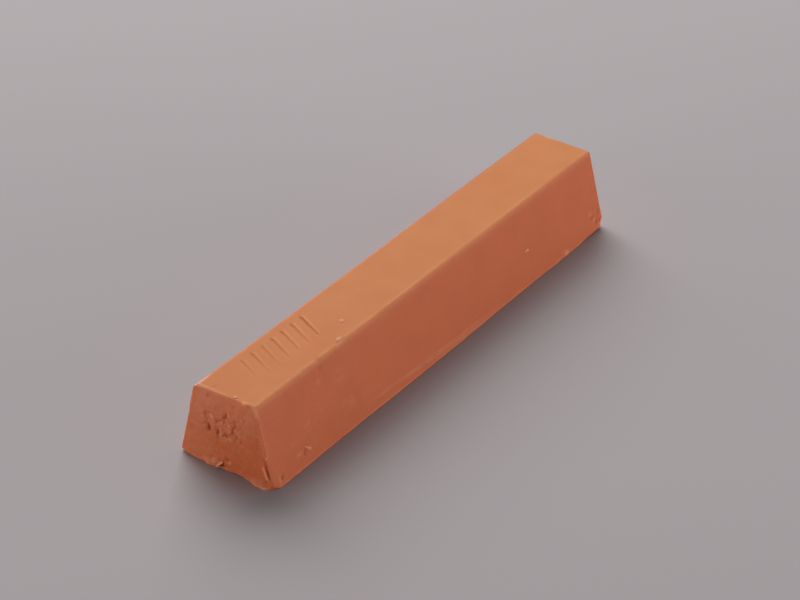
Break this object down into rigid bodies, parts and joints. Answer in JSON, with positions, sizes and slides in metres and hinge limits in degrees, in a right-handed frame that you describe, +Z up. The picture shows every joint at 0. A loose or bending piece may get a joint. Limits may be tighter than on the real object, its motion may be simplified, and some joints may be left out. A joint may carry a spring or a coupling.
{
  "type": "furniture repair wax stick",
  "caption": "Short bar of hard filler wax with drafted sides, rounded top edges and cut ends, melted or rubbed into dents and scratches in furniture.",
  "frame": {"origin": "middle of the underside, on the surface that the bar lies on", "axes": "+X along the bar from its worn end to its clean end, +Y to the left seen from the worn end, +Z up"},
  "size_m": [0.0804, 0.0157, 0.0124],
  "materials": {
    "wax": "satin hard wax, terracotta brown",
    "wax_scraps": "scraped hard wax, paler where it is torn"
  },
  "bodies": {
    "root": {"wax_bar": "wax", "corner_sliver": "wax_scraps", "base_edge_flake": "wax_scraps", "side_crumb": "wax_scraps", "ridge_crumb": "wax_scraps", "top_crumb": "wax_scraps", "end_rim_crumb": "wax_scraps", "far_side_crumb": "wax_scraps"}
  },
  "joints": []
}
